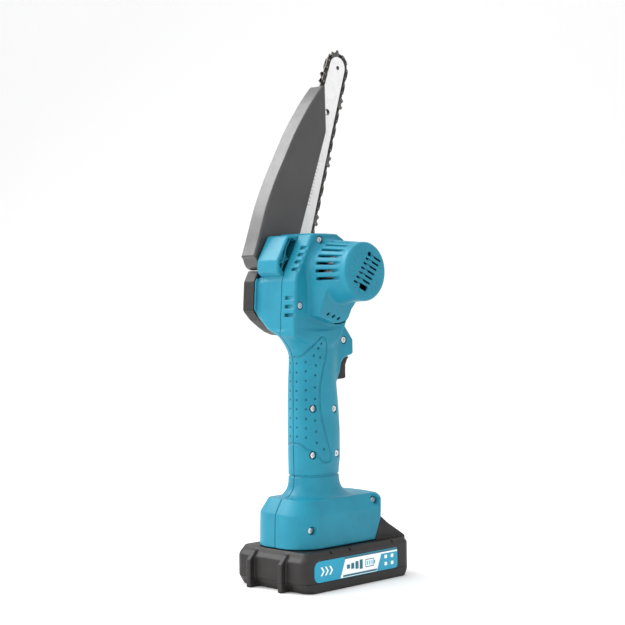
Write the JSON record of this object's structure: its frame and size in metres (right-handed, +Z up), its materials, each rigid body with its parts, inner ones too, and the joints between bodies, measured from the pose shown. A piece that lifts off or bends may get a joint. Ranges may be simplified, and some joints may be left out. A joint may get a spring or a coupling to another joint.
{
  "type": "cordless mini chainsaw",
  "caption": "One-hand battery mini chainsaw with a pistol-like upright grip, side motor barrel, tapered guide bar and chain, flip-up chain guard and slide-on battery pack.",
  "frame": {"origin": "centre of the battery pack's bottom face", "axes": "+Z up the handle to the bar tip, +X to the trigger and cutting side, -Y to the motor side, +Y to the bar side"},
  "size_m": [0.1318, 0.0996, 0.4291],
  "materials": {
    "teal_plastic": "satin moulded",
    "black_plastic": "fine textured moulded",
    "grey_plastic": "satin moulded",
    "bar_steel": "ground",
    "chain_steel": "dark oiled",
    "cutter_steel": "bright ground",
    "screw_steel": "bright plated",
    "spring_steel": "bright",
    "motor_steel": "plated",
    "gear_steel": "machined",
    "alloy": "die cast",
    "copper_wire": "insulated",
    "board_green": "solder mask",
    "cell_wrap": "shrink wrap",
    "contact_brass": "bright",
    "label_film": "printed film"
  },
  "bodies": {
    "housing": {"motor_side_housing": "teal_plastic", "sprocket_side_housing": "teal_plastic", "motor_end_cap": "teal_plastic", "housing_screws": "screw_steel", "sprocket_cover": "black_plastic", "bar_plate": "bar_steel", "bar_stud": "gear_steel", "cover_nut": "screw_steel", "guide_bar": "bar_steel", "chain_drive_links": "chain_steel", "chain_tie_straps": "chain_steel", "chain_cutters_left": "cutter_steel", "chain_cutters_right": "cutter_steel", "chain_rivets": "cutter_steel", "output_bearing_outer": "gear_steel", "output_bearing_inner": "gear_steel", "gear_plate": "alloy", "motor_can": "motor_steel", "guard_pivot_pin": "gear_steel", "guard_spring": "spring_steel", "trigger_spring": "spring_steel", "trigger_switch": "black_plastic", "lock_off_spring": "spring_steel", "control_board": "board_green", "terminal_block": "black_plastic", "power_wires": "copper_wire", "motor_wires": "copper_wire"},
    "output": {"output_shaft": "gear_steel", "spur_gear": "gear_steel", "drive_sprocket": "gear_steel", "sprocket_clip": "spring_steel"},
    "rotor": {"motor_rotor": "motor_steel", "motor_pinion": "gear_steel", "cooling_fan": "black_plastic"},
    "guard": {"chain_guard": "grey_plastic"},
    "trigger": {"trigger": "black_plastic"},
    "lock_off": {"lock_off_button": "black_plastic"},
    "battery": {"battery_case_lower": "black_plastic", "battery_case_upper": "black_plastic", "battery_cells": "cell_wrap", "battery_terminals": "contact_brass", "battery_label": "label_film", "latch_spring": "spring_steel", "battery_case_screws": "screw_steel"},
    "latch": {"battery_latch": "black_plastic"}
  },
  "joints": [
    {"name": "sprocket_spin", "type": "hinge", "parent": "housing", "child": "output", "pos_m": [-0.01128, 0.032, 0.22459], "axis": [0, 1, 0], "continuous": true, "deforming": ["chain_drive_links", "chain_tie_straps", "chain_cutters_left", "chain_cutters_right", "chain_rivets"]},
    {"name": "rotor_spin", "type": "hinge", "parent": "housing", "child": "rotor", "pos_m": [-0.00541, -0.02, 0.24266], "axis": [0, 1, 0], "continuous": true},
    {"name": "guard_hinge", "type": "hinge", "parent": "housing", "child": "guard", "pos_m": [-0.0385, 0.032, 0.254], "axis": [0, -1, 0], "range_deg": [0, 60], "deforming": ["guard_spring"]},
    {"name": "trigger_pull", "type": "slide", "parent": "housing", "child": "trigger", "axis": [-1, 0, 0], "range_m": [0, 0.006], "deforming": ["trigger_spring"]},
    {"name": "lock_off_push", "type": "slide", "parent": "housing", "child": "lock_off", "axis": [0, -1, 0], "range_m": [0, 0.003], "deforming": ["lock_off_spring"]},
    {"name": "battery_slide", "type": "slide", "parent": "housing", "child": "battery", "axis": [1, 0, 0], "range_m": [0, 0.08]},
    {"name": "latch_press", "type": "slide", "parent": "battery", "child": "latch", "axis": [0, 0, -1], "range_m": [0, 0.003], "deforming": ["latch_spring"]}
  ],
  "couplings": [
    {"joint": "rotor_spin", "follows": "sprocket_spin", "ratio": -3.2222}
  ]
}
